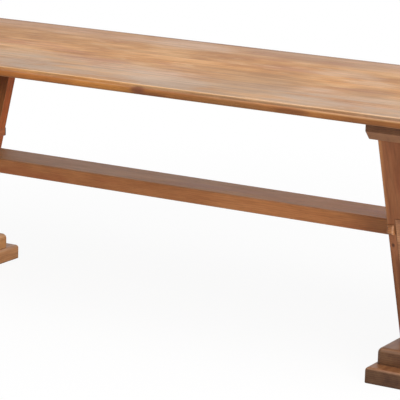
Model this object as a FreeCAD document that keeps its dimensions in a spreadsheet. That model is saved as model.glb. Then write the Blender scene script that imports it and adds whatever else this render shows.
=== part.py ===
import FreeCAD, Part
import os
import Sketcher

# Trestle table: a board top on two cross bearers, each carried by a pair of legs that
# spread upward from a stepped foot. A cross rail ties each pair of legs, and one flat
# stretcher joins the two rails.
# X runs along the table, Y across it and Z up from the floor under its middle.

document = FreeCAD.newDocument("trestle_table")
sheet = document.addObject("Spreadsheet::Sheet", "Sizes")

# Driving sizes in millimetres.
SIZES = {
    "overall_height": 760,
    "glue_gap": 0.15,
    "cut_overrun": 5,
    # The top and its moulded edge.
    "top_length": 2100,
    "top_width": 792,
    "top_thickness": 28.5,
    "edge_inset": 9,
    "edge_step": 8.5,
    "nosing_radius": 4,
    "edge_round": 8,
    "tongue_width": 24,
    "tongue_thickness": 8,
    "tongue_end_stop": 60,
    # The two trestles.
    "end_overhang": 226.5,
    "foot_width": 121,
    "foot_length": 557,
    "foot_lower_height": 45,
    "foot_upper_height": 45.5,
    "foot_side_step": 10.5,
    "foot_end_step": 47,
    "foot_lower_corner": 5,
    "foot_lower_arris": 9,
    "foot_upper_corner": 14,
    "foot_upper_arris": 15,
    "foot_sole_arris": 3,
    "leg_thickness": 72,
    "leg_depth": 39,
    "leg_foot_spread": 227,
    "leg_head_inset": 80,
    "leg_arris": 3,
    "bearer_end_inset": 52,
    "bearer_width": 120,
    "bearer_height": 51.5,
    "bearer_bevel": 24,
    "bearer_arris": 3,
    # The cross rails, the stretcher and the dovetailed battens over its ends.
    "rail_thickness": 44,
    "rail_underside": 306,
    "rail_height": 154,
    "rail_shoulder": 5,
    "rail_arris": 3,
    "rail_tenon_thickness": 19,
    "rail_tenon_proud": 2,
    "stretcher_width": 142,
    "stretcher_height": 44,
    "stretcher_underside": 365,
    "stretcher_arris": 5,
    "stretcher_tenon_width": 100,
    "batten_height": 29,
    "batten_depth": 22,
    "batten_flare": 2,
    "batten_proud": 11,
    "batten_arris": 8,
    # Tenons, pegs, dowels and screws.
    "tenon_thickness": 28,
    "tenon_length": 30,
    "tenon_width": 26,
    "peg_diameter": 10,
    "stretcher_peg_spacing": 50,
    "stretcher_peg_length": 110,
    "dowel_diameter": 14,
    "foot_dowel_length": 60,
    "foot_dowel_spacing_across": 44,
    "foot_dowel_spacing_along": 300,
    "screw_diameter": 5,
    "screw_head_diameter": 10,
    "screw_head_height": 4,
    "screw_bite": 20,
    "screw_grip": 30,
    "screw_well_diameter": 14,
    "screw_spacing": 80,
    "screw_spread_share": 0.96,
}

# Heights of the two pegs in each tenon of a cross rail, as shares of the rail's height.
RAIL_PEG_SHARES = (0.15, 0.5)
BOARD_COUNT = 5

for row, (alias, size) in enumerate(SIZES.items(), start=1):
    sheet.set(f"A{row}", alias)
    sheet.set(f"B{row}", str(size))
    sheet.setAlias(f"B{row}", alias)
document.recompute()

# Places worked out from the driving sizes.
TOP_UNDERSIDE = "(Sizes.overall_height - Sizes.top_thickness)"
BEARER_UNDERSIDE = f"({TOP_UNDERSIDE} - Sizes.bearer_height)"
FOOT_TOP = "(Sizes.foot_lower_height + Sizes.foot_upper_height)"
LEG_HEIGHT = f"({BEARER_UNDERSIDE} - {FOOT_TOP})"
TRESTLE_PLACE = "(Sizes.top_length / 2 - Sizes.end_overhang)"
BOARD_WIDTH = f"(Sizes.top_width / {BOARD_COUNT})"
LEG_HEAD_SPREAD = "(Sizes.top_width - 2 * Sizes.leg_head_inset)"
EDGE_HEIGHT = "(Sizes.top_thickness - Sizes.edge_step)"
UPPER_FOOT_WIDTH = "(Sizes.foot_width - 2 * Sizes.foot_side_step)"
UPPER_FOOT_LENGTH = "(Sizes.foot_length - 2 * Sizes.foot_end_step)"
RAIL_TOP = "(Sizes.rail_underside + Sizes.rail_height)"
STRETCHER_TOP = "(Sizes.stretcher_underside + Sizes.stretcher_height)"
STRETCHER_MIDDLE = "(Sizes.stretcher_underside + Sizes.stretcher_height / 2)"
STRETCHER_SPAN = f"(2 * {TRESTLE_PLACE} - Sizes.rail_thickness)"
BATTEN_TOP = f"({STRETCHER_TOP} + Sizes.batten_height)"
HEAD_PEG_HEIGHT = f"({BEARER_UNDERSIDE} + Sizes.tenon_length / 2)"
FOOT_PEG_HEIGHT = f"({FOOT_TOP} - Sizes.tenon_length / 2)"
TIGHT = "2 * Sizes.glue_gap"
SCREW_SEAT = f"({TOP_UNDERSIDE} - Sizes.screw_grip)"
SCREW_STEP = f"({BOARD_WIDTH} * Sizes.screw_spread_share)"


def leg_outside(height):
    """How far the outer edge of a leg stands from the middle at a height above the floor."""
    widening = f"({LEG_HEAD_SPREAD} - Sizes.leg_foot_spread) / {LEG_HEIGHT}"
    return f"((Sizes.leg_foot_spread + {widening} * ({height} - {FOOT_TOP})) / 2)"


def leg_inside(height):
    """How far the inner edge of a leg stands from the middle at a height above the floor."""
    return f"({leg_outside(height)} - Sizes.leg_depth)"


def leg_middle(height):
    """How far the middle of a leg stands from the middle at a height above the floor."""
    return f"({leg_outside(height)} - Sizes.leg_depth / 2)"


HEAD_TENON_PLACE = leg_middle(BEARER_UNDERSIDE)
FOOT_TENON_PLACE = leg_middle(FOOT_TOP)


def value(expression):
    """The number that an expression over the sheet gives now."""
    return float(sheet.evalExpression(expression))


def new_body(label, x=None, y=None, z=None, half_turn=False):
    """A body with its own name and a place bound to the sheet."""
    body = document.addObject("PartDesign::Body", label)
    body.Label = label
    if half_turn:
        body.Placement.Rotation = FreeCAD.Rotation(FreeCAD.Vector(0, 0, 1), 180)
    for axis, place in (("x", x), ("y", y), ("z", z)):
        if place is not None:
            body.setExpression(f"Placement.Base.{axis}", place)
    return body


def new_sketch(body, name, plane):
    """An empty sketch on one of the body's own origin planes."""
    sketch = body.newObject("Sketcher::SketchObject", f"{body.Name}_{name}_sketch")
    planes = [feature for feature in body.Origin.OriginFeatures if feature.Role == plane]
    sketch.AttachmentSupport = [(planes[0], "")]
    sketch.MapMode = "FlatFace"
    return sketch


def pin_point(sketch, geometry, point, place):
    """Hold a point of a sketch at a place bound to the sheet."""
    for kind, expression in zip(("DistanceX", "DistanceY"), place):
        if value(expression) == 0:
            axis_line = -2 if kind == "DistanceX" else -1
            sketch.addConstraint(Sketcher.Constraint("PointOnObject", geometry, point, axis_line))
        else:
            held = Sketcher.Constraint(kind, geometry, point, value(expression))
            index = sketch.addConstraint(held)
            sketch.setExpression(f"Constraints[{index}]", expression)


def outline(body, name, plane, corners):
    """A closed sketch with straight sides through corners bound to the sheet."""
    sketch = new_sketch(body, name, plane)
    points = [FreeCAD.Vector(value(across), value(up), 0) for across, up in corners]
    for start, end in zip(points, points[1:] + points[:1]):
        sketch.addGeometry(Part.LineSegment(start, end), False)
    for side in range(len(points)):
        following = (side + 1) % len(points)
        sketch.addConstraint(Sketcher.Constraint("Coincident", side, 2, following, 1))
    for side, corner in enumerate(corners):
        pin_point(sketch, side, 1, corner)
    return sketch


def rectangle(body, name, plane, width, height, centre=("0", "0")):
    """A rectangle sketch of a bound width and height about a bound centre."""
    left = f"{centre[0]} - {width} / 2"
    right = f"{centre[0]} + {width} / 2"
    low = f"{centre[1]} - {height} / 2"
    high = f"{centre[1]} + {height} / 2"
    return outline(body, name, plane, [(left, low), (right, low), (right, high), (left, high)])


def circles(body, name, plane, diameter, centres):
    """A sketch of equal circles about bound centres."""
    sketch = new_sketch(body, name, plane)
    normal = FreeCAD.Vector(0, 0, 1)
    for number, centre in enumerate(centres):
        middle = FreeCAD.Vector(value(centre[0]), value(centre[1]), 0)
        sketch.addGeometry(Part.Circle(middle, normal, value(diameter) / 2), False)
        pin_point(sketch, number, 3, centre)
        held = Sketcher.Constraint("Diameter", number, value(diameter))
        index = sketch.addConstraint(held)
        sketch.setExpression(f"Constraints[{index}]", diameter)
    return sketch


def pad(body, sketch, length, both_ways=True):
    """Thicken a sketch, evenly to both sides or along its normal."""
    feature = body.newObject("PartDesign::Pad", f"{sketch.Name}_pad")
    feature.Profile = sketch
    feature.SideType = "Symmetric" if both_ways else "One side"
    feature.setExpression("Length", length)
    document.recompute()
    return feature


def pocket(body, sketch, length):
    """Cut a sketch into the body, evenly to both sides of the sketch."""
    feature = body.newObject("PartDesign::Pocket", f"{sketch.Name}_pocket")
    feature.Profile = sketch
    feature.SideType = "Symmetric"
    feature.setExpression("Length", length)
    document.recompute()
    return feature


def soften(body, name, radius, chosen):
    """Round the edges of the body that a test on their two end points picks."""
    tip = body.Tip
    names = []
    for number, edge in enumerate(tip.Shape.Edges, start=1):
        ends = [vertex.Point for vertex in edge.Vertexes]
        if len(ends) == 2 and chosen(ends[0], ends[1]):
            names.append(f"Edge{number}")
    feature = body.newObject("PartDesign::Fillet", f"{body.Name}_{name}_rounding")
    feature.Base = (tip, names)
    feature.setExpression("Radius", radius)
    document.recompute()
    return feature


def level(ends, axis, place):
    """Whether both end points of an edge lie at a place along an axis."""
    tolerance_share = 1e-6
    slack = SIZES["overall_height"] * tolerance_share
    return all(abs(getattr(end, axis) - place) < slack for end in ends)


def rod(name, diameter, length, x, y, z, along):
    """A round rod centred on a bound place, lying along X, Y or Z."""
    cylinder = document.addObject("Part::Cylinder", name)
    turns = {
        "x": FreeCAD.Rotation(FreeCAD.Vector(0, 1, 0), 90),
        "y": FreeCAD.Rotation(FreeCAD.Vector(1, 0, 0), -90),
        "z": FreeCAD.Rotation(),
    }
    cylinder.Placement.Rotation = turns[along]
    cylinder.setExpression("Radius", f"{diameter} / 2")
    cylinder.setExpression("Height", length)
    for axis, place in (("x", x), ("y", y), ("z", z)):
        start = f"{place} - {length} / 2" if axis == along else place
        cylinder.setExpression(f"Placement.Base.{axis}", start)
    return cylinder


def group(label, members):
    """One node that holds several separate equal solids."""
    compound = document.addObject("Part::Compound", label)
    compound.Label = label
    compound.Links = members
    return compound


# The top: boards glued edge to edge, moulded round all four outer sides.


def top_board(number):
    """One board of the top, its underside at the body's own zero."""
    place = f"({number} - ({BOARD_COUNT} + 1) / 2) * {BOARD_WIDTH}"
    body = new_body(f"top_board_{number}", y=place, z=TOP_UNDERSIDE)
    front_inset = "Sizes.edge_inset" if number == 1 else "0"
    back_inset = "Sizes.edge_inset" if number == BOARD_COUNT else "0"

    edge = rectangle(body, "edge", "XY_Plane", "Sizes.top_length", BOARD_WIDTH)
    pad(body, edge, EDGE_HEIGHT, both_ways=False)

    def outer_edge(first, second, height, end_place, front_place, back_place):
        ends = (first, second)
        if not level(ends, "z", height):
            return False
        at_end = level(ends, "x", end_place) or level(ends, "x", -end_place)
        at_front = number == 1 and level(ends, "y", front_place)
        at_back = number == BOARD_COUNT and level(ends, "y", back_place)
        return at_end or at_front or at_back

    half_length = value("Sizes.top_length / 2")
    half_width = value(f"{BOARD_WIDTH} / 2")
    step_height = value(EDGE_HEIGHT)
    soften(
        body, "edge", "Sizes.edge_round",
        lambda first, second: any(
            outer_edge(first, second, height, half_length, -half_width, half_width)
            for height in (0, step_height)
        ),
    )

    face_half_length = "(Sizes.top_length / 2 - Sizes.edge_inset)"
    front = f"-{BOARD_WIDTH} / 2 + {front_inset}"
    back = f"{BOARD_WIDTH} / 2 - {back_inset}"
    face = outline(body, "face", "XY_Plane", [
        (f"-{face_half_length}", front),
        (face_half_length, front),
        (face_half_length, back),
        (f"-{face_half_length}", back),
    ])
    pad(body, face, "Sizes.top_thickness", both_ways=False)
    surface = value("Sizes.top_thickness")
    soften(
        body, "nosing", "Sizes.nosing_radius",
        lambda first, second: outer_edge(
            first, second, surface, value(face_half_length), value(front), value(back)
        ),
    )

    groove_length = f"(Sizes.top_length - 2 * Sizes.tongue_end_stop + {TIGHT})"
    groove_height = f"(Sizes.tongue_thickness + {TIGHT})"
    groove_depth = "(Sizes.tongue_width / 2 + Sizes.glue_gap + Sizes.cut_overrun)"
    for side, wanted in ((-1, number > 1), (1, number < BOARD_COUNT)):
        if wanted:
            reach = f"({BOARD_WIDTH} / 2 + Sizes.cut_overrun - {groove_depth} / 2)"
            name = "front_groove" if side < 0 else "back_groove"
            slot = rectangle(
                body, name, "XY_Plane", groove_length, groove_depth, ("0", f"{side} * {reach}")
            )
            slot.setExpression("AttachmentOffset.Base.z", f"{EDGE_HEIGHT} / 2")
            pocket(body, slot, groove_height)

    inward = f"({number} - ({BOARD_COUNT} + 1) / 2) * ({SCREW_STEP} - {BOARD_WIDTH})"
    holes = [
        (f"{side} * {TRESTLE_PLACE} + {row} * Sizes.screw_spacing / 2", inward)
        for side in (-1, 1)
        for row in (-1, 1)
    ]
    pilot = circles(body, "pilot", "XY_Plane", f"(Sizes.screw_diameter + {TIGHT})", holes)
    pocket(body, pilot, "2 * (Sizes.screw_bite + Sizes.glue_gap)")
    return body


def top_tongue(number):
    """The loose tongue between one board and the next."""
    tongue = document.addObject("Part::Box", f"top_tongue_{number}")
    length = "(Sizes.top_length - 2 * Sizes.tongue_end_stop)"
    joint = f"({number} - {BOARD_COUNT} / 2) * {BOARD_WIDTH}"
    middle = f"({TOP_UNDERSIDE} + {EDGE_HEIGHT} / 2)"
    tongue.setExpression("Length", length)
    tongue.setExpression("Width", "Sizes.tongue_width")
    tongue.setExpression("Height", "Sizes.tongue_thickness")
    tongue.setExpression("Placement.Base.x", f"-{length} / 2")
    tongue.setExpression("Placement.Base.y", f"{joint} - Sizes.tongue_width / 2")
    tongue.setExpression("Placement.Base.z", f"{middle} - Sizes.tongue_thickness / 2")
    return tongue


# The trestles: each piece is drawn for the right-hand trestle, whose inner face
# looks along -X, and the left-hand one is turned half round.


def trestle_body(label, side):
    """A body standing at the middle of the left or right trestle."""
    sign = "-" if side == "left" else ""
    return new_body(label, x=f"{sign}{TRESTLE_PLACE}", half_turn=side == "left")


def peg_holes(body, name, places, length):
    """Bore peg holes across the body at places given across and up."""
    bores = circles(body, name, "YZ_Plane", f"(Sizes.peg_diameter + {TIGHT})", places)
    pocket(body, bores, f"{length} + 2 * Sizes.cut_overrun")


def mirrored(place, height):
    """A place at one leg and its mirror place at the other leg."""
    return [(f"-{place}", height), (place, height)]


def foot_dowel_places():
    """The places of the dowels between the two blocks of a foot."""
    half_across = "Sizes.foot_dowel_spacing_across / 2"
    half_along = "Sizes.foot_dowel_spacing_along / 2"
    return [
        (f"{across} * {half_across}", f"{along} * {half_along}")
        for across in (-1, 1)
        for along in (-1, 1)
    ]


def foot_block(body, low, high, width, length, corner, arris):
    """A block with rounded corners and upper edges, bored for the foot dowels."""
    footprint = rectangle(body, "footprint", "XY_Plane", width, length)
    footprint.setExpression("AttachmentOffset.Base.z", low)
    pad(body, footprint, f"({high} - {low})", both_ways=False)
    bottom = value(low)
    top = value(high)
    soften(
        body, "corner", corner,
        lambda first, second: not level((first, second), "z", bottom)
        and not level((first, second), "z", top),
    )
    soften(body, "arris", arris, lambda first, second: level((first, second), "z", top))
    bores = circles(
        body, "dowel", "XY_Plane", f"(Sizes.dowel_diameter + {TIGHT})", foot_dowel_places()
    )
    bores.setExpression("AttachmentOffset.Base.z", "Sizes.foot_lower_height")
    pocket(body, bores, f"(Sizes.foot_dowel_length + {TIGHT})")


def tenon_mortises(body, place, height):
    """Cut the two mortises for the legs, evenly above and below a height."""
    for name, sign in (("front", "-"), ("back", "")):
        mortise = rectangle(
            body, f"{name}_mortise", "XY_Plane", f"(Sizes.tenon_thickness + {TIGHT})",
            f"(Sizes.tenon_width + {TIGHT})", ("0", f"{sign}{place}"),
        )
        mortise.setExpression("AttachmentOffset.Base.z", height)
        pocket(body, mortise, "2 * (Sizes.tenon_length + Sizes.glue_gap)")


def foot_lower(side):
    """The wide block that rests on the floor."""
    body = trestle_body(f"foot_lower_{side}", side)
    foot_block(
        body, "0 * Sizes.foot_lower_height", "Sizes.foot_lower_height",
        "Sizes.foot_width", "Sizes.foot_length",
        "Sizes.foot_lower_corner", "Sizes.foot_lower_arris",
    )
    soften(
        body, "sole", "Sizes.foot_sole_arris",
        lambda first, second: level((first, second), "z", 0),
    )
    return body


def foot_upper(side):
    """The narrower block on it, mortised for the legs."""
    body = trestle_body(f"foot_upper_{side}", side)
    foot_block(
        body, "Sizes.foot_lower_height", FOOT_TOP,
        UPPER_FOOT_WIDTH, UPPER_FOOT_LENGTH,
        "Sizes.foot_upper_corner", "Sizes.foot_upper_arris",
    )
    tenon_mortises(body, FOOT_TENON_PLACE, FOOT_TOP)
    peg_holes(body, "peg", mirrored(FOOT_TENON_PLACE, FOOT_PEG_HEIGHT), UPPER_FOOT_WIDTH)
    return body


def batten_section(body, name, slack, overrun):
    """The dovetail section of a batten, wider by a slack and run out past the face."""
    face = "(-Sizes.leg_thickness / 2)"
    mouth = f"({face} - {overrun})"
    deep = f"({face} + Sizes.batten_depth + {slack})"
    lean = f"(Sizes.batten_flare * ({deep} - {mouth}) / Sizes.batten_depth)"
    return outline(body, name, "XZ_Plane", [
        (mouth, f"({STRETCHER_TOP} - {slack} + {lean})"),
        (deep, f"({STRETCHER_TOP} - {slack})"),
        (deep, f"({BATTEN_TOP} + {slack})"),
        (mouth, f"({BATTEN_TOP} + {slack} - {lean})"),
    ])


def rail_peg_heights():
    """The heights of the two pegs in each tenon of a cross rail."""
    return [f"(Sizes.rail_underside + {share} * Sizes.rail_height)" for share in RAIL_PEG_SHARES]


def leg(side, edge):
    """One leaning leg with a tenon at each end, mortised for the cross rail."""
    toward = -1 if edge == "front" else 1
    turned = -toward if side == "left" else toward
    body = trestle_body(f"leg_{edge}_{side}", side)
    shape = outline(body, "outline", "YZ_Plane", [
        (f"{turned} * {leg_inside(FOOT_TOP)}", FOOT_TOP),
        (f"{turned} * {leg_outside(FOOT_TOP)}", FOOT_TOP),
        (f"{turned} * {leg_outside(BEARER_UNDERSIDE)}", BEARER_UNDERSIDE),
        (f"{turned} * {leg_inside(BEARER_UNDERSIDE)}", BEARER_UNDERSIDE),
    ])
    pad(body, shape, "Sizes.leg_thickness")
    lowest = value(FOOT_TOP)
    highest = value(BEARER_UNDERSIDE)
    soften(
        body, "arris", "Sizes.leg_arris",
        lambda first, second: not level((first, second), "z", lowest)
        and not level((first, second), "z", highest),
    )
    tenon_rise = "(Sizes.tenon_length - Sizes.cut_overrun) / 2"
    ends = (
        ("head", HEAD_TENON_PLACE, f"({BEARER_UNDERSIDE} + {tenon_rise})"),
        ("foot", FOOT_TENON_PLACE, f"({FOOT_TOP} - {tenon_rise})"),
    )
    for name, place, middle in ends:
        tenon = rectangle(
            body, f"{name}_tenon", "YZ_Plane", "Sizes.tenon_width",
            "(Sizes.tenon_length + Sizes.cut_overrun)", (f"{turned} * {place}", middle),
        )
        pad(body, tenon, "Sizes.tenon_thickness")

    across = f"{LEG_HEAD_SPREAD} + 2 * Sizes.cut_overrun"
    pocket(body, batten_section(body, "groove", "Sizes.glue_gap", "Sizes.cut_overrun"), across)
    mortise = rectangle(
        body, "rail_mortise", "XZ_Plane", f"(Sizes.rail_tenon_thickness + {TIGHT})",
        f"(Sizes.rail_height - 2 * Sizes.rail_shoulder + {TIGHT})",
        ("0", "(Sizes.rail_underside + Sizes.rail_height / 2)"),
    )
    pocket(body, mortise, across)
    places = [
        (f"{turned} * {HEAD_TENON_PLACE}", HEAD_PEG_HEIGHT),
        (f"{turned} * {FOOT_TENON_PLACE}", FOOT_PEG_HEIGHT),
    ]
    for height in rail_peg_heights():
        places.append((f"{turned} * {leg_middle(height)}", height))
    peg_holes(body, "peg", places, "Sizes.leg_thickness")
    return body


def cross_rail(side):
    """The deep rail between a pair of legs, tenoned through both."""
    body = trestle_body(f"cross_rail_{side}", side)
    low = "Sizes.rail_underside"
    shape = outline(body, "outline", "YZ_Plane", [
        (f"-{leg_inside(low)}", low),
        (leg_inside(low), low),
        (leg_inside(RAIL_TOP), RAIL_TOP),
        (f"-{leg_inside(RAIL_TOP)}", RAIL_TOP),
    ])
    pad(body, shape, "Sizes.rail_thickness")
    bottom = value(low)
    top = value(RAIL_TOP)
    half = value("Sizes.rail_thickness / 2")
    soften(
        body, "arris", "Sizes.rail_arris",
        lambda first, second: (level((first, second), "z", bottom) or level((first, second), "z", top))
        and (level((first, second), "x", half) or level((first, second), "x", -half)),
    )
    tenon_low = f"({low} + Sizes.rail_shoulder)"
    tenon_high = f"({RAIL_TOP} - Sizes.rail_shoulder)"
    low_reach = f"({leg_outside(tenon_low)} + Sizes.rail_tenon_proud)"
    high_reach = f"({leg_outside(tenon_high)} + Sizes.rail_tenon_proud)"
    tenon = outline(body, "tenon", "YZ_Plane", [
        (f"-{low_reach}", tenon_low),
        (low_reach, tenon_low),
        (high_reach, tenon_high),
        (f"-{high_reach}", tenon_high),
    ])
    pad(body, tenon, "Sizes.rail_tenon_thickness")

    mortise = rectangle(
        body, "mortise", "YZ_Plane", f"(Sizes.stretcher_tenon_width + {TIGHT})",
        f"(Sizes.stretcher_height + {TIGHT})", ("0", STRETCHER_MIDDLE),
    )
    pocket(body, mortise, "Sizes.rail_thickness + 2 * Sizes.cut_overrun")
    groove = batten_section(body, "groove", "Sizes.glue_gap", "Sizes.cut_overrun")
    pocket(body, groove, LEG_HEAD_SPREAD)
    pins = circles(
        body, "stretcher_peg", "XY_Plane", f"(Sizes.peg_diameter + {TIGHT})", stretcher_peg_places()
    )
    pins.setExpression("AttachmentOffset.Base.z", RAIL_TOP)
    pocket(body, pins, "2 * (Sizes.stretcher_peg_length + Sizes.glue_gap)")
    places = []
    for height in rail_peg_heights():
        places.extend(mirrored(leg_middle(height), height))
    peg_holes(body, "leg_peg", places, "Sizes.rail_thickness")
    return body


def cross_batten(side):
    """The dovetailed batten let into the legs over the stretcher, its ends proud of them."""
    body = trestle_body(f"cross_batten_{side}", side)
    none = "0 * Sizes.glue_gap"
    section = batten_section(body, "section", none, none)
    middle = f"(({STRETCHER_TOP} + {BATTEN_TOP}) / 2)"
    length = f"(2 * ({leg_outside(middle)} + Sizes.batten_proud))"
    pad(body, section, length)
    half_length = value(f"{length} / 2")
    soften(
        body, "arris", "Sizes.batten_arris",
        lambda first, second: level((first, second), "y", half_length)
        or level((first, second), "y", -half_length),
    )
    return body


def bearer(side):
    """The cross bearer under the top, bevelled at both lower ends."""
    body = trestle_body(f"bearer_{side}", side)
    half = "(Sizes.top_width / 2 - Sizes.bearer_end_inset)"
    waist = f"({BEARER_UNDERSIDE} + Sizes.bearer_bevel)"
    profile = outline(body, "profile", "YZ_Plane", [
        (f"-{half} + Sizes.bearer_bevel", BEARER_UNDERSIDE),
        (f"{half} - Sizes.bearer_bevel", BEARER_UNDERSIDE),
        (half, waist),
        (half, TOP_UNDERSIDE),
        (f"-{half}", TOP_UNDERSIDE),
        (f"-{half}", waist),
    ])
    pad(body, profile, "Sizes.bearer_width")
    seat = value(TOP_UNDERSIDE)
    soften(
        body, "arris", "Sizes.bearer_arris",
        lambda first, second: not level((first, second), "z", seat),
    )
    tenon_mortises(body, HEAD_TENON_PLACE, BEARER_UNDERSIDE)
    peg_holes(body, "peg", mirrored(HEAD_TENON_PLACE, HEAD_PEG_HEIGHT), "Sizes.bearer_width")

    screws = screw_places()
    shanks = circles(body, "shank", "XY_Plane", f"(Sizes.screw_diameter + {TIGHT})", screws)
    shanks.setExpression("AttachmentOffset.Base.z", TOP_UNDERSIDE)
    pocket(body, shanks, "2 * (Sizes.screw_grip + Sizes.cut_overrun)")
    wells = circles(body, "well", "XY_Plane", "Sizes.screw_well_diameter", screws)
    wells.setExpression("AttachmentOffset.Base.z", BEARER_UNDERSIDE)
    pocket(body, wells, "2 * (Sizes.bearer_height - Sizes.screw_grip)")
    return body


def screw_places():
    """The places of the screws in a bearer: a pair under every board, clear of the bevels."""
    return [
        (f"{row} * Sizes.screw_spacing / 2", f"({number} - ({BOARD_COUNT} + 1) / 2) * {SCREW_STEP}")
        for number in range(1, BOARD_COUNT + 1)
        for row in (-1, 1)
    ]


def bearer_screws(side):
    """The screws that hold the boards down on a bearer."""
    sign = "-" if side == "left" else ""
    members = []
    for number, (along, across) in enumerate(screw_places(), start=1):
        name = f"bearer_screw_{side}_{number}"
        x = f"({sign}{TRESTLE_PLACE} + {along})"
        length = "(Sizes.screw_grip + Sizes.screw_bite)"
        shank = rod(
            f"{name}_shank", "Sizes.screw_diameter", length,
            x, across, f"({SCREW_SEAT} + {length} / 2)", "z",
        )
        head = rod(
            f"{name}_head", "Sizes.screw_head_diameter", "Sizes.screw_head_height",
            x, across, f"({SCREW_SEAT} - Sizes.screw_head_height / 2)", "z",
        )
        screw = document.addObject("Part::Fuse", name)
        screw.Base = shank
        screw.Tool = head
        members.append(screw)
    return group(f"bearer_screws_{side}", members)


def pegs(label, side, places, length):
    """Pegs that lie along the table through the tenons of a trestle."""
    sign = "-" if side == "left" else ""
    members = [
        rod(f"{label}_{side}_{number}", "Sizes.peg_diameter", length,
            f"{sign}{TRESTLE_PLACE}", across, height, "x")
        for number, (across, height) in enumerate(places, start=1)
    ]
    return group(f"{label}s_{side}", members)


def rail_pegs(side):
    """The pegs through the legs and the tenons of a cross rail."""
    places = []
    for height in rail_peg_heights():
        places.extend(mirrored(leg_middle(height), height))
    return pegs("rail_peg", side, places, "Sizes.leg_thickness")


def stretcher_peg_places():
    """The places of the pegs that drop through a rail into the stretcher's tenon."""
    return [("0", f"{row} * Sizes.stretcher_peg_spacing / 2") for row in (-1, 1)]


def stretcher_pegs(side):
    """The pegs that drop through a rail into the stretcher's tenon."""
    sign = "-" if side == "left" else ""
    middle = f"({RAIL_TOP} - Sizes.stretcher_peg_length / 2)"
    members = [
        rod(f"stretcher_peg_{side}_{number}", "Sizes.peg_diameter", "Sizes.stretcher_peg_length",
            f"{sign}{TRESTLE_PLACE}", across, middle, "z")
        for number, (_, across) in enumerate(stretcher_peg_places(), start=1)
    ]
    return group(f"stretcher_pegs_{side}", members)


def foot_dowels(side):
    """The dowels between the two blocks of a foot."""
    sign = "-" if side == "left" else ""
    members = [
        rod(f"foot_dowel_{side}_{number}", "Sizes.dowel_diameter", "Sizes.foot_dowel_length",
            f"({sign}{TRESTLE_PLACE} + {across})", along, "Sizes.foot_lower_height", "z")
        for number, (across, along) in enumerate(foot_dowel_places(), start=1)
    ]
    return group(f"foot_dowels_{side}", members)


# The stretcher.


def stretcher():
    """The flat plank between the trestles, tenoned through both cross rails."""
    body = new_body("stretcher")
    section = rectangle(
        body, "section", "YZ_Plane", "Sizes.stretcher_width", "Sizes.stretcher_height",
        ("0", STRETCHER_MIDDLE),
    )
    pad(body, section, STRETCHER_SPAN)
    half_span = value(f"{STRETCHER_SPAN} / 2")
    soften(
        body, "arris", "Sizes.stretcher_arris",
        lambda first, second: not level((first, second), "x", half_span)
        and not level((first, second), "x", -half_span),
    )
    tenon = rectangle(
        body, "tenon", "YZ_Plane", "Sizes.stretcher_tenon_width", "Sizes.stretcher_height",
        ("0", STRETCHER_MIDDLE),
    )
    pad(body, tenon, f"({STRETCHER_SPAN} + 2 * Sizes.rail_thickness)")
    places = [
        (f"{sign}{TRESTLE_PLACE}", across)
        for sign in ("-", "")
        for _, across in stretcher_peg_places()
    ]
    pins = circles(body, "peg", "XY_Plane", f"(Sizes.peg_diameter + {TIGHT})", places)
    pocket(body, pins, "2 * Sizes.overall_height")
    return body


# Make every piece.

nodes = []
for number in range(1, BOARD_COUNT + 1):
    nodes.append(top_board(number))
for number in range(1, BOARD_COUNT):
    nodes.append(top_tongue(number))
for side in ("left", "right"):
    nodes.append(bearer(side))
    nodes.append(bearer_screws(side))
    nodes.append(pegs(
        "bearer_peg", side, mirrored(HEAD_TENON_PLACE, HEAD_PEG_HEIGHT), "Sizes.bearer_width"
    ))
    nodes.append(leg(side, "front"))
    nodes.append(leg(side, "back"))
    nodes.append(cross_rail(side))
    nodes.append(rail_pegs(side))
    nodes.append(cross_batten(side))
    nodes.append(stretcher_pegs(side))
    nodes.append(foot_upper(side))
    nodes.append(pegs(
        "foot_peg", side, mirrored(FOOT_TENON_PLACE, FOOT_PEG_HEIGHT), UPPER_FOOT_WIDTH
    ))
    nodes.append(foot_lower(side))
    nodes.append(foot_dowels(side))
nodes.append(stretcher())
document.recompute()

# Check every object and write each piece to its own file.

for item in document.Objects:
    if "Invalid" in item.State or "Error" in item.State:
        raise RuntimeError(f"{item.Label} did not build: {item.State}")
os.makedirs("parts", exist_ok=True)
for node in nodes:
    if node.Shape.isNull() or not node.Shape.isValid():
        raise RuntimeError(f"{node.Label} has no valid shape")
    node.Shape.exportStep(f"parts/{node.Label}.step")
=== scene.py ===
import math

import bpy
from mathutils import Matrix, Vector


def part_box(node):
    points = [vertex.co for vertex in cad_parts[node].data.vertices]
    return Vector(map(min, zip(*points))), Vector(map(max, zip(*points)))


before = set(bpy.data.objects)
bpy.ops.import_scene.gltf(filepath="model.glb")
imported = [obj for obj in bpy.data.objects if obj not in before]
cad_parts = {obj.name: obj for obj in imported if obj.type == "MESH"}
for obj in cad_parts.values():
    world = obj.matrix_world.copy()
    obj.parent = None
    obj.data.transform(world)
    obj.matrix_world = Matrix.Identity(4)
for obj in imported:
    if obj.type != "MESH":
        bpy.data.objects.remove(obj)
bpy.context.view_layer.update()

# The camera: image and focal length in pixels, sensor in millimetres, angles in degrees, places in metres.
IMAGE_SIDE = 400
FOCAL_PIXELS = 2225.8
SENSOR_WIDTH = 36.0
FAR_CLIP = 100
AZIMUTH = 30.09
ELEVATION = 12.82
ROLL = 1.657
AIM = Vector((0.0727, 0.0, 0.3609))
DISTANCE = 6.516

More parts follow.
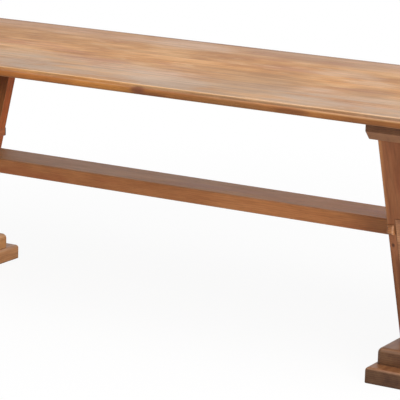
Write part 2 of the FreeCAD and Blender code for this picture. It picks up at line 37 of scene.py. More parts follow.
# The studio: places and sizes in metres, strengths and shares of light.
KEY_PLACE = Vector((1.5, -1.8, 4.5))
KEY_SIZE = 3.5
KEY_POWER = 140
SIDE_PLACE = Vector((4.6, -3.1, 1.25))
SIDE_SIZE = 2.4
SIDE_POWER = 190
SURROUND_LIGHT = 0.40
BACKDROP_GLOW = 1.0
ROOM_GLOW = 0.15
BACKDROP_BORDER = (-0.6, 0.3)
FLOOR_SIZE = 60
FLOOR_ROUGHNESS = 0.9
FLOOR_COLOUR = (0.55, 0.55, 0.55, 1)
FLOOR_SEEN_COLOUR = (0.98, 0.98, 0.98, 1)
FLOOR_WHITE_SHARE = 0.92
FLOOR_SHADOW_REACH = (1.2, 2.8)
WHITE = (1, 1, 1, 1)

# Wood colours: deep, middle, pale and reddish.
BROWN = ((0.25, 0.085, 0.027, 1), (0.38, 0.148, 0.051, 1), (0.49, 0.212, 0.080, 1), (0.34, 0.108, 0.038, 1))
FADED = ((0.42, 0.185, 0.068, 1), (0.56, 0.275, 0.105, 1), (0.70, 0.400, 0.195, 1), (0.52, 0.240, 0.130, 1))

# Colours of haze, wear, painted shade, knots, stains and steel.
BLEACHED = (0.48, 0.355, 0.270, 1)
BLUSHED = (0.585, 0.352, 0.232, 1)
CREAM = (0.78, 0.53, 0.34, 1)
BROWN_WEAR = (0.46, 0.235, 0.125, 1)
PAINTED_SHADE = (0.055, 0.026, 0.013, 1)
KNOT = (0.075, 0.026, 0.013, 1)
RED_KNOT = (0.15, 0.045, 0.022, 1)
TANNED = (0.32, 0.17, 0.080, 1)
GOLDEN = (0.58, 0.29, 0.105, 1)
REDDENED = (0.40, 0.175, 0.095, 1)
RUBBED = (0.72, 0.52, 0.38, 1)
PALE_PATCH = (0.55, 0.23, 0.095, 1)
STEEL = (0.42, 0.41, 0.40, 1)
STEEL_DULL = (0.20, 0.18, 0.16, 1)

# Noise: features per metre along and across the grain, layers of detail, and their roughness.
WANDER_NOISE = (0.9, 4.0, 2.0, 0.5)
RIPPLE_NOISE = (5.0, 45.0, 2.0, 0.5)
STREAK_NOISE = (8.0, 55.0, 4.0, 0.55)
TOP_STREAK_NOISE = (13.0, 55.0, 4.0, 0.55)
CLOUD_NOISE = (4.0, 12.0, 3.0, 0.55)
TOP_CLOUD_NOISE = (4.0, 7.0, 2.0, 0.55)
LINE_NOISE = (3.0, 150.0, 3.0, 0.6)
FIBRE_NOISE = (22.0, 240.0, 3.0, 0.75)
PORE_NOISE = (38.0, 900.0, 2.0, 0.5)
BLOTCH_NOISE = (2.6, 10.0, 3.0, 0.6)
FLECK_NOISE = (11.0, 60.0, 2.0, 0.6)
HAZE_NOISE = (4.0, 6.0, 3.0, 0.55)
PATCH_NOISE = (4.5, 14.0, 4.0, 0.65)
STAIN_NOISE = (6.0, 24.0, 3.0, 0.6)
WEAR_NOISE = (9.0, 30.0, 3.0, 0.6)
EDGE_SHADE_NOISE = (5.0, 5.0, 2.0, 0.5)
GLOSS_NOISE = (4.0, 20.0, 3.0, 0.6)
BRUSH_NOISE = (300.0, 900.0, 2.0, 0.6)
DULL_NOISE = (60.0, 60.0, 3.0, 0.6)

# Soft steps over noise: the levels where each starts and where it is whole.
PORE_STEP = (0.60, 0.74)
BLOTCH_STEP = (0.52, 0.70)
FLECK_STEP = (0.54, 0.70)
PATCH_STEP = (0.33, 0.62)
DULL_STEP = (0.4, 0.7)

# Growth rings: sizes in metres, bands per metre, and where in a year the late wood starts and ends.
RING_WIDTH = 0.0055
RING_WANDER = 0.045
RING_RIPPLE = 0.004
KNOT_BULGE = 0.012
BAND_COUNT = 42.0
BAND_DETAIL = 3.0
BAND_ROUGHNESS = 0.6
LATE_WOOD_START = (0.45, 0.92)
LATE_WOOD_END = (1.0, 0.93)

# The figure: shares of bands, streaks and clouds, and the noise of the last two.
FIGURE = ((0.20, 0.40, 0.40), STREAK_NOISE, CLOUD_NOISE)
TOP_FIGURE = ((0.08, 0.16, 0.76), TOP_STREAK_NOISE, TOP_CLOUD_NOISE)

# The level of the figure that has the middle colour, and how far from there the wood is deepest or palest.
FIGURE_MIDDLE = 0.49
FIGURE_REACH = 0.12
TOP_FIGURE_REACH = 0.14
STRETCHER_FIGURE_REACH = 0.22

# How squarely a face looks along an axis: soft steps for ends and sides, for faces that look up, and
# for rounded edges and those that still look up.
SQUARE_ON = (0.6, 0.9)
LOOKING_UP = (0.75, 0.97)
ROUNDED = (0.985, 0.88)
ROUNDED_UP = (-0.1, 0.3)

# Depths of colour, from nought to one, and shares of the light that is lost.
BLOTCH_DEPTH = 0.8
FLECK_DEPTH = 0.35
HAZE_DEPTHS = (0.25, 0.85)
RIM_DEPTH = 0.25
RING_DEPTH = 0.14
TOP_RING_DEPTH = 0.06
END_RING_DEPTH = 0.34
FIBRE_DEPTH = 0.20
PORE_DEPTH = 0.28
LINE_DEPTH = 0.50
WEAR_DEPTHS = (0.1, 1.0)
LOW_WEAR_AND_HIGHLIGHT_DEPTH = 0.5
BROWN_WEAR_DEPTH = 0.7
STRIP_DEPTH = 0.6
CORNER_SHADE_DEPTH = 0.6
STEP_SHADE_DEPTHS = (0.05, 0.7)
BACK_SHADE_DEPTH = 0.55

# Painted shade in corners: how far round them walls count in metres, how many looks are taken, and the
# openness to the air where the painted shade starts and where it is whole.
CREVICE_REACH = 0.012
CREVICE_SAMPLES = 6
CREVICE = (0.85, 0.4)

# The finish: roughness, shine and relief, with the heights of bumps in metres.
WAX_ROUGHNESS = 0.42
TOP_ROUGHNESS = 0.60
STRETCHER_ROUGHNESS = 0.46
ROUGHNESS_SPREAD = (-0.07, 0.09)
PORE_ROUGHNESS = 0.15
WAX_SHINE = 0.5
TOP_SHINE = 0.4
STRETCHER_SHINE = 0.4
LEG_SHINE = 0.3
FIBRE_RELIEF = 0.4
LATE_WOOD_RELIEF = 0.5
WOOD_BUMP_STRENGTH = 0.25
WOOD_BUMP_HEIGHT = 0.0005
STEEL_ROUGHNESS = (0.28, 0.5)
STEEL_BUMP_STRENGTH = 0.2
STEEL_BUMP_HEIGHT = 0.0002

# Fading and wear of the top, with its painted shade and highlight, in metres: along X for the low wear and
# highlight and the painted edge shade, otherwise along Y.
FRONT_HAZE = (0.04, 0.28)
BACK_HAZE = (0.18, 0.36)
HAZE_WAVER = 0.10
BLUSH_TURN = (-0.1, 0.1)
FRONT_RIM = (-0.345, -0.372)
BACK_SHADE = (0.364, 0.382)
LOW_WEAR_AND_HIGHLIGHT = (0.56, 0.70)
EDGE_SHADE = (0.0, 0.5)
EDGE_SHADE_WAVER = 0.3

# The step round the top's raised field, and the breadth of its soft border, in metres.
EDGE_STEP = 0.0085
EDGE_STEP_BLUR = 0.0005

# How far a knot pushes the rings aside and where marks fade out, counted in their own half sizes.
KNOT_PUSH = (3.0, 0.5)
KNOT_BORDER = (1.2, 0.4)
STAIN_BORDER = (1.25, 0.35)
STAIN_RAGGEDNESS = 0.7

# Knots and stains: place, half length along the grain, half width in metres, depth of colour, and colour.
EDGE_KNOT = ((0.094, -0.396, 0.745), 0.026, 0.014, 0.75, RED_KNOT)
LEG_KNOT = ((0.799, -0.212, 0.376), 0.0075, 0.0055, 0.95, KNOT)
LEG_PATCH = ((0.803, -0.214, 0.385), 0.055, 0.020, 0.60, PALE_PATCH)
TOP_STAINS = (
    ((-0.05, -0.396, 0.745), 0.13, 0.025, 0.60, GOLDEN),
    ((0.145, -0.396, 0.737), 0.055, 0.006, 0.45, RED_KNOT),
    ((0.565, -0.396, 0.742), 0.060, 0.010, 0.60, RED_KNOT),
    ((0.42, -0.396, 0.742), 0.10, 0.012, 0.35, RED_KNOT),
    ((0.35, -0.20, 0.76), 0.16, 0.30, 0.45, TANNED),
    ((0.66, -0.09, 0.76), 0.09, 0.09, 0.50, TANNED),
    ((0.04, -0.23, 0.76), 0.11, 0.11, 0.40, RUBBED),
    ((-0.14, 0.30, 0.76), 0.15, 0.09, 0.40, RUBBED),
    ((0.47, 0.13, 0.76), 0.13, 0.06, 0.40, RUBBED),
    ((0.22, 0.32, 0.76), 0.24, 0.08, 0.40, TANNED),
    ((0.46, 0.30, 0.76), 0.10, 0.07, 0.35, TANNED),
    ((0.22, -0.05, 0.76), 0.24, 0.06, 0.30, TANNED),
    ((0.28, -0.14, 0.76), 0.09, 0.05, 0.40, GOLDEN),
    ((0.60, 0.03, 0.76), 0.11, 0.05, 0.40, RUBBED),
    ((0.52, -0.15, 0.76), 0.07, 0.05, 0.40, RUBBED),
    ((0.13, 0.29, 0.76), 0.11, 0.030, 0.45, REDDENED),
    ((0.37, 0.28, 0.76), 0.08, 0.025, 0.55, REDDENED),
    ((0.62, -0.09, 0.76), 0.09, 0.022, 0.45, REDDENED),
)

# The pale strip down one edge of a leg: the edge's place and its foot in metres, how fast it widens upward,
# then its soft border in metres and its colour.
PALE_STRIP = (0.788, 0.40, 0.030)
STRIP_BORDER = (0.006, -0.004)
STRIP_COLOUR = BROWN[2]

# Tones that change along an axis: which one, where the change starts and ends, and both tones.
EDGE_TONES = ("X", -0.25, 0.25, (1.02, 0.80, 0.42, 1), (0.78, 0.67, 0.41, 1))
STEP_TONES = ("X", 0.20, 0.50, (1.08, 0.92, 0.64, 1), (0.80, 0.74, 0.64, 1))
# The stretcher's tones grow lighter towards its right end: painted light where the trestle keeps the side
# lamp off.
STRETCHER_TONES_AND_PAINTED_LIGHT = ("X", 0.05, 0.60, (1.12, 1.14, 1.12, 1), (1.40, 1.30, 1.20, 1))
STRETCHER_SIDE_TONES_AND_PAINTED_LIGHT = ("X", 0.05, 0.60, (1.08, 1.04, 0.98, 1), (1.30, 1.28, 1.20, 1))
# The left batten turns dark at its back end: painted shade on its rounded end.
BATTEN_TONES_AND_END_SHADE = ("Y", 0.226, 0.233, (1.45, 1.05, 0.65, 1), (0.12, 0.07, 0.07, 1))
FRONT_LEG_TONES = ("Z", 0.15, 0.40, (0.55, 0.52, 0.58, 1), (0.63, 0.56, 0.58, 1))
# Painted shadow of the top: the leg darkens towards its head.
SHADED_LEG_TONES = ("Z", 0.50, 0.60, (1.0, 0.92, 0.76, 1), (0.55, 0.42, 0.36, 1))

# Tones that stay the same along a piece, and the share of light that most end grain keeps.
PLAIN = (1, 1, 1)
# A painted lit tone for the sides of a leg that face the side lamp.
LIT_SIDE = (1.20, 0.70, 0.34)
END_TONE = 0.5

# Boards of the top, from the front: turn in the log in degrees, shift of its heart in metres, tone, knots.
BOARDS = (
    (113, (1.7, -0.01, 0.100), (1.0, 0.98, 0.95), (EDGE_KNOT,)),
    (136, (3.4, 0.01, 0.085), PLAIN, ()),
    (90, (5.1, -0.03, 0.100), (1.04, 1.01, 0.95), ()),
    (113, (6.8, -0.01, 0.085), (0.98, 0.97, 0.95), ()),
    (136, (8.5, 0.01, 0.100), (0.98, 1.0, 1.05), ()),
)

# Pieces that lie across the table: tone, and share of light that the end grain keeps.
CROSS_PIECES = {
    "bearer_left": ((0.9, 0.9, 0.9), END_TONE),
    "bearer_right": ((0.78, 0.74, 0.68), 0.48),
    "cross_rail_left": (PLAIN, 0.75),
    "cross_rail_right": ((1.0, 1.05, 1.18), 0.95),
    "cross_batten_left": (BATTEN_TONES_AND_END_SHADE, 1.0),
    "cross_batten_right": ((0.88, 0.87, 0.81), 1.0),
    "foot_upper_left": ((1.45, 1.65, 1.6), 0.6),
    "foot_upper_right": ((0.57, 0.63, 0.74), 0.60),
    "foot_lower_left": ((1.30, 1.50, 1.70), 0.6),
    "foot_lower_right": ((0.74, 0.78, 0.86), 0.35),
}

# Legs: tone, tone of the sides, knots, stains and pale strip.
LEGS = {
    "leg_front_left": (PLAIN, None, (), (), None),
    "leg_back_left": (SHADED_LEG_TONES, LIT_SIDE, (), (), None),
    "leg_front_right": (FRONT_LEG_TONES, None, (LEG_KNOT,), (LEG_PATCH,), PALE_STRIP),
    "leg_back_right": (PLAIN, None, (), (), None),
}

# How far the legs run outward as they rise, in metres.
LEG_RUN = 0.2025
LEG_RISE = 0.5865

# How pieces lie in their logs: turns in degrees, taken one after another, and in metres the stagger along
# the log and the place of its heart across and below the piece.
TONGUE_CUT = ((100, 25, 50, 75), 0.9, 0.03, 0.06)
CROSS_CUT = ((-5, 0, 5), 1.3, 0.03, 0.18)
LEG_CUT = ((20, 91, 162, 233), 2.1, 0.04, 0.05)
PEG_CUT = ((0, 15, 30), 0.4, 0.02, 0.03)

# How the stretcher lies in its log: turn in degrees, and shift of the heart in metres.
STRETCHER_CUT = (130, (0.6, 0.02, 0.08))

# Directions of the grain.
LENGTHWISE = (1, 0, 0)
CROSSWISE = (0, 1, 0)
UPRIGHT = (0, 0, 1)

# Pegs and dowels by the direction of their grain, and both ends of the table.
PEGS = {
    LENGTHWISE: ("bearer_pegs", "rail_pegs", "foot_pegs"),
    UPRIGHT: ("stretcher_pegs", "foot_dowels"),
}
ENDS = ("left", "right")


class Recipe:
    """The nodes of a material or world in the making, with short ways to add and join them."""

    def __init__(self, owner):
        owner.use_nodes = True
        self.owner = owner
        self.nodes = owner.node_tree.nodes
        self.links = owner.node_tree.links

    def feed(self, socket, value):
        """Join a socket to an output, or set its own value."""
        if isinstance(value, bpy.types.NodeSocket):
            self.links.new(value, socket)
        else:
            socket.default_value = value

    def add(self, kind, inputs=None, **settings):
        """Add a node with its settings and inputs."""
        node = self.nodes.new(kind)
        for name, value in settings.items():
            setattr(node, name, value)
        for key, value in (inputs or {}).items():
            self.feed(node.inputs[key], value)
        return node

    def math(self, operation, first, second=0.0):
        """A plain step on numbers."""
        return self.add("ShaderNodeMath", {0: first, 1: second}, operation=operation).outputs[0]

    def times(self, first, *others):
        """A product of numbers."""
        for other in others:
            first = self.math("MULTIPLY", first, other)
        return first

    def plus(self, first, *others):
        """A sum of numbers."""
        for other in others:
            first = self.math("ADD", first, other)
        return first

    def vector(self, operation, first, second=(0, 0, 0)):
        """A plain step on vectors."""
        node = self.add("ShaderNodeVectorMath", {0: first, 1: second}, operation=operation)
        return node.outputs["Value" if operation in ("LENGTH", "DOT_PRODUCT") else "Vector"]

    def ease(self, value, low, high):
        """A soft step from none at low to all at high."""
        inputs = {"Value": value, "From Min": low, "From Max": high}
        return self.add("ShaderNodeMapRange", inputs, interpolation_type="SMOOTHSTEP").outputs["Result"]

    def spread(self, value, low, high):
        """A number from nought to one spread evenly between two others."""
        inputs = {"Value": value, "To Min": low, "To Max": high}
        return self.add("ShaderNodeMapRange", inputs).outputs["Result"]

    def noise(self, place, along, across, detail, roughness):
        """Soft noise with its own count of features per metre along and across the grain."""
        stretched = self.vector("MULTIPLY", place, (along, across, across))
        inputs = {"Vector": stretched, "Scale": 1.0, "Detail": detail, "Roughness": roughness}
        return self.add("ShaderNodeTexNoise", inputs).outputs["Fac"]

    def mix(self, share, first, second, way="MIX"):
        """Two colours mixed by a share."""
        node = self.add("ShaderNodeMix", {0: share, 6: first, 7: second}, data_type="RGBA", blend_type=way)
        return node.outputs[2]

    def ramp(self, value, stops):
        """A colour read from a row of stops."""
        node = self.add("ShaderNodeValToRGB", {"Fac": value})
        row = node.color_ramp.elements
        while len(row) < len(stops):
            row.new(1.0)
        for element, (place, colour) in zip(row, stops):
            element.position = place
            element.color = colour
        return node.outputs["Color"]

    def finish_surface(self, colour, roughness, relief, strength, height):
        """Give the shader its colour, roughness and relief, and hand back its inputs."""
        bump = self.add("ShaderNodeBump", {"Height": relief, "Strength": strength, "Distance": height})
        sockets = self.nodes["Principled BSDF"].inputs
        self.feed(sockets["Base Color"], colour)
        self.feed(sockets["Roughness"], roughness)
        self.feed(sockets["Normal"], bump.outputs["Normal"])
        return sockets


def face_axes(grain):
    """The directions along the grain, across it and square to both, as a piece is cut."""
    along = Vector(grain).normalized()
    side = Vector(CROSSWISE if grain == LENGTHWISE else LENGTHWISE)
    return Matrix((along, side, along.cross(side)))


class Wood(Recipe):
    """The wood of one piece: its place in the log, the look of its faces, and its colour so far."""

    def __init__(self, node, grain, turn, shift, knots):
        super().__init__(bpy.data.materials.new(f"wood_{node}"))
        self.axes = face_axes(grain)
        self.here = self.add("ShaderNodeTexCoord").outputs["Object"]
        self.spot = self.add("ShaderNodeSeparateXYZ", {0: self.here}).outputs
        self.place = self.log_place(node, turn, shift)
        normal = self.add("ShaderNodeNewGeometry").outputs["True Normal"]
        self.up = self.add("ShaderNodeSeparateXYZ", {0: normal}).outputs["Z"]
        self.facing = [
            self.math("ABSOLUTE", self.vector("DOT_PRODUCT", normal, axis)) for axis in self.axes
        ]
        self.knots = [(self.reach(knot), knot) for knot in knots]
        self.radius = self.ring_radius()
        self.late_wood = self.ring_shade()
        self.fibres = self.grained(FIBRE_NOISE)
        self.pores = self.ease(self.grained(PORE_NOISE), *PORE_STEP)
        self.blotches = self.ease(self.grained(BLOTCH_NOISE), *BLOTCH_STEP)
        self.colour = None

    def log_place(self, node, turn, shift):
        """Coordinates with X along the grain and the heart of the tree on their X axis."""
        low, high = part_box(node)
        centre = (Vector(low) + Vector(high)) / 2
        rows = Matrix.Rotation(math.radians(turn), 3, "X") @ self.axes
        inputs = {
            "Vector": self.here,
            "Rotation": rows.to_euler(),
            "Location": Vector(shift) - rows @ centre,
        }
        return self.add("ShaderNodeMapping", inputs, vector_type="POINT").outputs["Vector"]

    def grained(self, pattern):
        """Noise that runs with the grain."""
        return self.noise(self.place, *pattern)

    def reach(self, mark):
        """How far from a knot or stain, counted in its own half sizes."""
        place, half_length, half_width = mark[:3]
        offset = self.vector("SUBTRACT", self.here, place)
        halves = (half_length, half_width, half_width)
        parts = [
            self.math("DIVIDE", self.vector("DOT_PRODUCT", offset, axis), half)
            for axis, half in zip(self.axes, halves)
        ]
        joined = self.add("ShaderNodeCombineXYZ", dict(enumerate(parts))).outputs[0]
        return self.vector("LENGTH", joined)

    def cover(self, share, colour):
        """Lay a colour over the wood by a share."""
        self.colour = self.mix(share, self.colour, colour)

    def ring_radius(self):
        """The distance from the heart of the tree, pushed aside by knots."""
        wander = self.spread(self.grained(WANDER_NOISE), -RING_WANDER, RING_WANDER)
        ripple = self.spread(self.grained(RIPPLE_NOISE), -RING_RIPPLE, RING_RIPPLE)
        radius = self.vector("LENGTH", self.vector("MULTIPLY", self.place, (0, 1, 1)))
        bulges = [self.times(self.ease(reach, *KNOT_PUSH), KNOT_BULGE) for reach, _ in self.knots]
        return self.plus(radius, wander, ripple, *bulges)

    def ring_shade(self):
        """The dark late wood at the end of each year."""
        season = self.math("FRACT", self.math("DIVIDE", self.radius, RING_WIDTH))
        return self.times(self.ease(season, *LATE_WOOD_START), self.ease(season, *LATE_WOOD_END))

    def figure(self, shares, streak_noise, cloud_noise):
        """Broad bands of good and lean years, with streaks and clouds."""
        inputs = {
            "W": self.times(self.radius, BAND_COUNT),
            "Scale": 1.0,
            "Detail": BAND_DETAIL,
            "Roughness": BAND_ROUGHNESS,
        }
        bands = self.add("ShaderNodeTexNoise", inputs, noise_dimensions="1D").outputs["Fac"]
        kinds = (bands, self.grained(streak_noise), self.grained(cloud_noise))
        return self.plus(*[self.times(kind, share) for kind, share in zip(kinds, shares)])

    def figure_colour(self, figure, palette, figure_reach):
        """The colour of the wood from its figure and its reddish blotches."""
        deep, middle, pale, red = palette
        stops = (
            (FIGURE_MIDDLE - figure_reach, deep),
            (FIGURE_MIDDLE, middle),
            (FIGURE_MIDDLE + figure_reach, pale),
        )
        return self.mix(self.times(self.blotches, BLOTCH_DEPTH), self.ramp(figure, stops), red)

    def stain(self, stains):
        """Stains and rubbed patches with ragged borders."""
        ragged = self.spread(self.grained(STAIN_NOISE), -STAIN_RAGGEDNESS, STAIN_RAGGEDNESS)
        for stain in stains:
            depth, colour = stain[3:]
            reach = self.plus(self.reach(stain), ragged)
            self.cover(self.times(self.ease(reach, *STAIN_BORDER), depth), colour)

    def darken_grain(self, ring_depth, end_tone, *lines):
        """Darker late wood, fibres, pores and lines, and end grain that drinks more finish."""
        end_on = self.facing[0]
        rings = self.times(self.late_wood, self.spread(end_on, ring_depth, END_RING_DEPTH))
        fibres = self.spread(self.fibres, -FIBRE_DEPTH, FIBRE_DEPTH)
        dim = self.plus(rings, fibres, self.times(self.pores, PORE_DEPTH), *lines)
        start, whole = SQUARE_ON
        inputs = {"Value": end_on, "From Min": start, "From Max": whole, "To Min": 1.0, "To Max": end_tone}
        ends = self.add("ShaderNodeMapRange", inputs).outputs["Result"]
        shade = self.times(self.math("SUBTRACT", 1.0, dim), ends)
        inputs = {0: self.colour, "Scale": shade}
        self.colour = self.add("ShaderNodeVectorMath", inputs, operation="SCALE").outputs[0]

    def edge_wear(self):
        """How far the rounded edges are rubbed, in patches."""
        lengthwise, sideways, square = self.facing
        flattest = self.math("MAXIMUM", self.math("MAXIMUM", lengthwise, sideways), square)
        patches = self.spread(self.grained(WEAR_NOISE), *WEAR_DEPTHS)
        return self.times(self.ease(flattest, *ROUNDED), patches)

    def tint(self, tone):
        """A tone that is the same all over a piece, or one that changes along an axis."""
        if len(tone) == len(PLAIN):
            return (*tone, 1)
        axis, start, end, first, last = tone
        return self.mix(self.ease(self.spot[axis], start, end), first, last)

    def tone_piece(self, tint, side_tint=None):
        """Tone the piece, and its sides apart where they have a tone of their own."""
        if side_tint is not None:
            tint = self.mix(self.ease(self.facing[1], *SQUARE_ON), tint, side_tint)
        self.colour = self.mix(1.0, self.colour, tint, "MULTIPLY")

    def add_pale_strip(self, edge, foot, widening):
        """A strip of pale sapwood that widens upward from its foot."""
        breadth = self.times(self.math("SUBTRACT", self.spot["Z"], foot), widening)
        inside = self.math("SUBTRACT", self.math("SUBTRACT", self.spot["X"], edge), breadth)
        self.cover(self.times(self.ease(inside, *STRIP_BORDER), STRIP_DEPTH), STRIP_COLOUR)

    def add_knots(self):
        """The dark hearts of the knots."""
        for reach, knot in self.knots:
            depth, colour = knot[3:]
            self.cover(self.times(self.ease(reach, *KNOT_BORDER), depth), colour)

    def corner_shade(self):
        """How much painted shade lies in the corners."""
        inputs = {"Distance": CREVICE_REACH}
        open_air = self.add("ShaderNodeAmbientOcclusion", inputs, samples=CREVICE_SAMPLES).outputs["AO"]
        return self.times(self.ease(open_air, *CREVICE), CORNER_SHADE_DEPTH)

    def polish(self, roughness, shine):
        """The waxed finish, with open pores and raised grain."""
        smooth, dull = ROUGHNESS_SPREAD
        rough = self.spread(self.grained(GLOSS_NOISE), roughness + smooth, roughness + dull)
        rough = self.plus(rough, self.times(self.pores, PORE_ROUGHNESS))
        relief = self.math("SUBTRACT", self.times(self.fibres, FIBRE_RELIEF), self.pores)
        relief = self.plus(relief, self.times(self.late_wood, LATE_WOOD_RELIEF))
        sockets = self.finish_surface(self.colour, rough, relief, WOOD_BUMP_STRENGTH, WOOD_BUMP_HEIGHT)
        sockets["Specular IOR Level"].default_value = shine
        return self.owner


class TopWood(Wood):
    """The wood of a board of the top, with what light, arms and plates have done to it."""

    def __init__(self, node, turn, shift, knots):
        super().__init__(node, LENGTHWISE, turn, shift, knots)
        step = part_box(node)[1][2] - EDGE_STEP
        self.raised = self.ease(self.spot["Z"], step - EDGE_STEP_BLUR, step + EDGE_STEP_BLUR)

    def fade(self):
        """Brown wood on the edge, and bleached wood with pale flecks on the raised field."""
        figure = self.figure(*TOP_FIGURE)
        self.colour = self.figure_colour(figure, BROWN, TOP_FIGURE_REACH)
        self.cover(self.raised, self.figure_colour(figure, FADED, TOP_FIGURE_REACH))
        flecks = self.ease(self.grained(FLECK_NOISE), *FLECK_STEP)
        self.cover(self.times(flecks, self.raised, FLECK_DEPTH), CREAM)

    def haze(self):
        """A patchy haze along the front and the back, and a darker front rim."""
        waver = self.spread(self.grained(HAZE_NOISE), -HAZE_WAVER, HAZE_WAVER)
        forward = self.math("SUBTRACT", waver, self.spot["Y"])
        backward = self.plus(waver, self.spot["Y"])
        haze = self.math("MAXIMUM", self.ease(forward, *FRONT_HAZE), self.ease(backward, *BACK_HAZE))
        patches = self.spread(self.ease(self.grained(PATCH_NOISE), *PATCH_STEP), *HAZE_DEPTHS)
        bloom = self.mix(self.ease(self.spot["Y"], *BLUSH_TURN), BLEACHED, BLUSHED)
        self.cover(self.times(haze, self.raised, patches), bloom)
        self.cover(self.times(self.ease(self.spot["Y"], *FRONT_RIM), RIM_DEPTH), TANNED)

    def grain_lines(self):
        """Long fine lines on the raised field."""
        return self.times(self.spread(self.grained(LINE_NOISE), -LINE_DEPTH, LINE_DEPTH), self.raised)

    def rub_and_highlight_arris(self):
        """A pale arris round the raised field, and a paler lower edge towards one end: partly wear, partly
        a painted highlight where the rounds look up.
        """
        below = self.times(self.ease(self.spot["X"], *LOW_WEAR_AND_HIGHLIGHT), LOW_WEAR_AND_HIGHLIGHT_DEPTH)
        place = self.math("MAXIMUM", self.raised, below)
        self.cover(self.times(self.edge_wear(), self.ease(self.up, *ROUNDED_UP), place), CREAM)

    def edge_tint(self):
        """The tone of the edge, and of the step above it."""
        return self.mix(self.raised, self.tint(EDGE_TONES), self.tint(STEP_TONES))

    def add_painted_shade(self):
        """Painted shade in the step, more of it towards one end, and a painted line of shade along the
        back.
        """
        waver = self.spread(self.grained(EDGE_SHADE_NOISE), -EDGE_SHADE_WAVER, EDGE_SHADE_WAVER)
        along = self.plus(self.spot["X"], waver)
        share = self.spread(self.ease(along, *EDGE_SHADE), *STEP_SHADE_DEPTHS)
        behind = self.times(self.ease(self.spot["Y"], *BACK_SHADE), BACK_SHADE_DEPTH)
        self.cover(self.math("MAXIMUM", self.times(self.corner_shade(), share), behind), PAINTED_SHADE)


def board_wood(node, turn, shift, tone, knots):
    """Brown hardwood of the top, bleached, hazed and stained above, worn and with a painted highlight along
    its edge, and with painted shade in its step and along its back.
    """
    wood = TopWood(node, turn, shift, knots)
    wood.fade()
    wood.haze()
    wood.stain(TOP_STAINS)
    wood.darken_grain(TOP_RING_DEPTH, END_TONE, wood.grain_lines())
    # Wear, and a painted highlight on the rounds of the arris that look up.
    wood.rub_and_highlight_arris()
    wood.tone_piece(wood.tint(tone), wood.edge_tint())
    wood.add_knots()
    # Painted shade in the step and along the back edge.
    wood.add_painted_shade()
    return wood.polish(TOP_ROUGHNESS, TOP_SHINE)


def piece_wood(
    node, grain, cut, tone=PLAIN, end_tone=END_TONE, side_tone=None, roughness=WAX_ROUGHNESS,
    shine=WAX_SHINE, figure_reach=FIGURE_REACH, painted_top_light=False, knots=(), stains=(), pale_strip=None,
):
    """Waxed brown hardwood with growth rings, pores, worn edges and painted shade in its corners."""
    wood = Wood(node, grain, *cut, knots)
    figure = wood.figure(*FIGURE)
    wood.colour = wood.figure_colour(figure, BROWN, figure_reach)
    # Painted light: faces that look up take the paler palette, in place of the light that the top above
    # keeps off.
    if painted_top_light:
        wood.cover(wood.ease(wood.up, *LOOKING_UP), wood.figure_colour(figure, FADED, figure_reach))
    if stains:
        wood.stain(stains)
    wood.darken_grain(RING_DEPTH, end_tone)
    wood.cover(wood.times(wood.edge_wear(), BROWN_WEAR_DEPTH), BROWN_WEAR)
    wood.tone_piece(wood.tint(tone), wood.tint(side_tone) if side_tone else None)
    if pale_strip:
        wood.add_pale_strip(*pale_strip)
    wood.add_knots()
    # Painted shade darkens the corners.
    wood.cover(wood.corner_shade(), PAINTED_SHADE)
    return wood.polish(roughness, shine)


def steel():
    """Plain steel of the screws, brushed round and dulled by age."""
    recipe = Recipe(bpy.data.materials.new("screw_steel"))
    place = recipe.add("ShaderNodeTexCoord").outputs["Object"]
    brushed = recipe.noise(place, *BRUSH_NOISE)
    dull = recipe.noise(place, *DULL_NOISE)
    colour = recipe.mix(recipe.ease(dull, *DULL_STEP), STEEL, STEEL_DULL)
    rough = recipe.spread(dull, *STEEL_ROUGHNESS)
    sockets = recipe.finish_surface(colour, rough, brushed, STEEL_BUMP_STRENGTH, STEEL_BUMP_HEIGHT)
    sockets["Metallic"].default_value = 1.0
    return recipe.owner


def dress(node, material):
    """Give a CAD node its finished material."""
    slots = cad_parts[node].data.materials
    slots.clear()
    slots.append(material)


def log_cut(cut, order):
    """The turn of a piece in its log, and the shift of the log's heart along, across and below it."""
    turns, stagger, across, below = cut
    return turns[order % len(turns)], (stagger * order, across, below)


def dress_top():
    """The boards of the top, each from another tree, and the tongues between them."""
    for number, board in enumerate(BOARDS, start=1):
        node = f"top_board_{number}"
        dress(node, board_wood(node, *board))
    for number in range(1, len(BOARDS)):
        node = f"top_tongue_{number}"
        dress(node, piece_wood(node, LENGTHWISE, log_cut(TONGUE_CUT, number)))


def leg_grain(node):
    """The direction in which a leg leans, upward."""
    low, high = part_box(node)
    outward = 1 if low[1] + high[1] > 0 else -1
    return (0, outward * LEG_RUN, LEG_RISE)


def dress_trestles():
    """The bearers, rails, battens, feet and legs of both trestles, and their pegs and dowels."""
    for order, (node, (tone, end_tone)) in enumerate(CROSS_PIECES.items()):
        dress(node, piece_wood(node, CROSSWISE, log_cut(CROSS_CUT, order), tone, end_tone))
    for order, (node, (tone, side_tone, knots, stains, strip)) in enumerate(LEGS.items()):
        material = piece_wood(
            node, leg_grain(node), log_cut(LEG_CUT, order), tone, side_tone=side_tone,
            shine=LEG_SHINE, knots=knots, stains=stains, pale_strip=strip,
        )
        dress(node, material)
    for end in ENDS:
        for grain, kinds in PEGS.items():
            for order, kind in enumerate(kinds):
                node = f"{kind}_{end}"
                dress(node, piece_wood(node, grain, log_cut(PEG_CUT, order)))


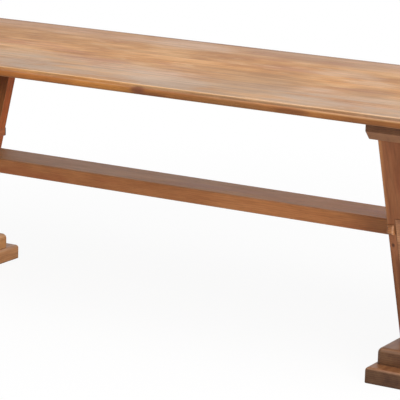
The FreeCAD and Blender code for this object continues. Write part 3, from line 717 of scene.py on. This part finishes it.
def dress_stretcher():
    """The plank between the trestles, with a calm figure, its top painted lighter, and painted light
    growing towards its right end.
    """
    material = piece_wood(
        "stretcher", LENGTHWISE, STRETCHER_CUT, STRETCHER_TONES_AND_PAINTED_LIGHT,
        side_tone=STRETCHER_SIDE_TONES_AND_PAINTED_LIGHT, roughness=STRETCHER_ROUGHNESS, shine=STRETCHER_SHINE,
        figure_reach=STRETCHER_FIGURE_REACH, painted_top_light=True,
    )
    dress("stretcher", material)


def dress_screws():
    """One steel for all the screws."""
    material = steel()
    for end in ENDS:
        dress(f"bearer_screws_{end}", material)


def add_camera():
    """A long lens that looks along the photograph's line of sight."""
    azimuth = math.radians(AZIMUTH)
    elevation = math.radians(ELEVATION)
    roll = math.radians(ROLL)
    back = Vector((
        math.sin(azimuth) * math.cos(elevation),
        -math.cos(azimuth) * math.cos(elevation),
        math.sin(elevation),
    ))
    level = Vector(UPRIGHT).cross(back).normalized()
    upward = back.cross(level)
    right = math.cos(roll) * level + math.sin(roll) * upward
    up = math.cos(roll) * upward - math.sin(roll) * level
    data = bpy.data.cameras.new("camera")
    data.sensor_width = SENSOR_WIDTH
    data.lens = FOCAL_PIXELS / IMAGE_SIDE * SENSOR_WIDTH
    data.clip_end = FAR_CLIP
    camera = bpy.data.objects.new("camera", data)
    turn = Matrix((right, up, back)).transposed().to_4x4()
    camera.matrix_world = Matrix.Translation(AIM + DISTANCE * back) @ turn
    bpy.context.scene.collection.objects.link(camera)
    bpy.context.scene.camera = camera


def add_floor():
    """A wide pale floor that looks white and keeps the table's shadow."""
    bpy.ops.mesh.primitive_plane_add(size=FLOOR_SIZE)
    floor = bpy.context.object
    floor.name = "floor"
    recipe = Recipe(bpy.data.materials.new("floor"))
    shader = recipe.nodes["Principled BSDF"]
    shader.inputs["Base Color"].default_value = FLOOR_COLOUR
    shader.inputs["Roughness"].default_value = FLOOR_ROUGHNESS
    white = recipe.add("ShaderNodeEmission").outputs["Emission"]
    shaded = recipe.add("ShaderNodeBsdfDiffuse", {"Color": FLOOR_SEEN_COLOUR}).outputs["BSDF"]
    here = recipe.add("ShaderNodeTexCoord").outputs["Object"]
    far = recipe.ease(recipe.vector("LENGTH", here), *FLOOR_SHADOW_REACH)
    inputs = {0: recipe.spread(far, FLOOR_WHITE_SHARE, 1.0), 1: shaded, 2: white}
    seen_floor = recipe.add("ShaderNodeMixShader", inputs).outputs["Shader"]
    seen = recipe.add("ShaderNodeLightPath").outputs["Is Camera Ray"]
    inputs = {0: seen, 1: shader.outputs["BSDF"], 2: seen_floor}
    surface = recipe.add("ShaderNodeMixShader", inputs).outputs["Shader"]
    recipe.feed(recipe.nodes["Material Output"].inputs["Surface"], surface)
    floor.data.materials.append(recipe.owner)


def add_lamp(name, place, size, power):
    """A square soft lamp that looks at the middle of the table."""
    data = bpy.data.lights.new(name, "AREA")
    data.size = size
    data.energy = power
    lamp = bpy.data.objects.new(name, data)
    lamp.location = place
    lamp.rotation_euler = (AIM - place).to_track_quat("-Z", "Y").to_euler()
    bpy.context.scene.collection.objects.link(lamp)


def add_surround():
    """An even surround that looks white, with a dimmer room where shiny faces look to the front."""
    recipe = Recipe(bpy.data.worlds.new("studio"))
    bpy.context.scene.world = recipe.owner
    direction = recipe.add("ShaderNodeTexCoord").outputs["Generated"]
    depth = recipe.add("ShaderNodeSeparateXYZ", {0: direction}).outputs["Y"]
    glow = recipe.spread(recipe.ease(depth, *BACKDROP_BORDER), ROOM_GLOW, BACKDROP_GLOW)
    path = recipe.add("ShaderNodeLightPath").outputs
    seen = path["Is Camera Ray"]
    mirrored = recipe.math("MAXIMUM", path["Is Glossy Ray"], path["Is Transmission Ray"])
    other = recipe.math("SUBTRACT", 1.0, recipe.math("MAXIMUM", mirrored, seen))
    strength = recipe.plus(seen, recipe.times(mirrored, glow), recipe.times(other, SURROUND_LIGHT))
    background = recipe.nodes["Background"]
    background.inputs["Color"].default_value = WHITE
    recipe.feed(background.inputs["Strength"], strength)


dress_top()
dress_trestles()
dress_stretcher()
dress_screws()
add_camera()
add_floor()
add_lamp("key", KEY_PLACE, KEY_SIZE, KEY_POWER)
add_lamp("side", SIDE_PLACE, SIDE_SIZE, SIDE_POWER)
add_surround()
bpy.context.scene.view_settings.view_transform = "Standard"
